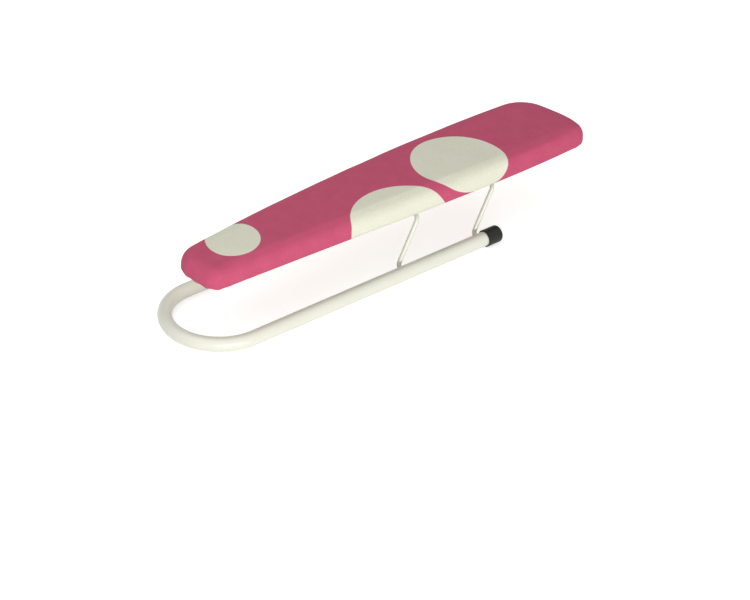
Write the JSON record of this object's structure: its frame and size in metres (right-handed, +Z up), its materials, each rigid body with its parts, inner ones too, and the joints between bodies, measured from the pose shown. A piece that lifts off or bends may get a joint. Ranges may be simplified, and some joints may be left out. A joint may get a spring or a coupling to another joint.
{
  "type": "sleeve ironing board",
  "caption": "Narrow padded sleeve ironing board with a fabric cover, on two wire legs that fold down onto a U-shaped round tube base with capped ends.",
  "frame": {"origin": "centre of the whole board's footprint, on the table", "axes": "+Z up; +X from the narrow nose and the bend of the base tube to the wide rear end; +Y to the far side in the picture"},
  "size_m": [0.5409, 0.1344, 0.0881],
  "materials": {
    "cream_paint": "satin cream powder coat",
    "black_plastic": "moulded, slightly satin",
    "printed_cotton": "plain weave pink cotton with large cream dots",
    "foam": "open cell foam",
    "elastic": "flat woven elastic",
    "plywood": "bare sanded",
    "grey_nylon": "moulded",
    "zinc_steel": "zinc plated"
  },
  "bodies": {
    "base": {"base_tube": "cream_paint", "end_cap_near": "black_plastic", "end_cap_far": "black_plastic"},
    "front_leg": {"front_leg": "cream_paint"},
    "rear_leg": {"rear_leg": "cream_paint"},
    "board": {"board_core": "plywood", "foam_pad": "foam", "fabric_cover": "printed_cotton", "hem_elastic": "elastic", "pivot_clip_front_near": "grey_nylon", "pivot_clip_front_far": "grey_nylon", "pivot_clip_rear_near": "grey_nylon", "pivot_clip_rear_far": "grey_nylon", "clip_screw_front_near_fore": "zinc_steel", "clip_screw_front_near_aft": "zinc_steel", "clip_screw_front_far_fore": "zinc_steel", "clip_screw_front_far_aft": "zinc_steel", "clip_screw_rear_near_fore": "zinc_steel", "clip_screw_rear_near_aft": "zinc_steel", "clip_screw_rear_far_fore": "zinc_steel", "clip_screw_rear_far_aft": "zinc_steel"}
  },
  "joints": [
    {"name": "front_leg_fold", "type": "hinge", "parent": "base", "child": "front_leg", "pos_m": [0.00327, 0, 0.009], "axis": [0, -1, 0], "range_deg": [0, 112.9]},
    {"name": "rear_leg_fold", "type": "hinge", "parent": "base", "child": "rear_leg", "pos_m": [0.10927, 0, 0.009], "axis": [0, -1, 0], "range_deg": [0, 112.9]},
    {"name": "board_pivot", "type": "hinge", "parent": "front_leg", "child": "board", "pos_m": [0.03097, 0, 0.06222], "axis": [0, -1, 0], "range_deg": [-112.9, 0]}
  ],
  "couplings": [
    {"joint": "rear_leg_fold", "follows": "front_leg_fold", "ratio": 1},
    {"joint": "board_pivot", "follows": "front_leg_fold", "ratio": -1}
  ]
}
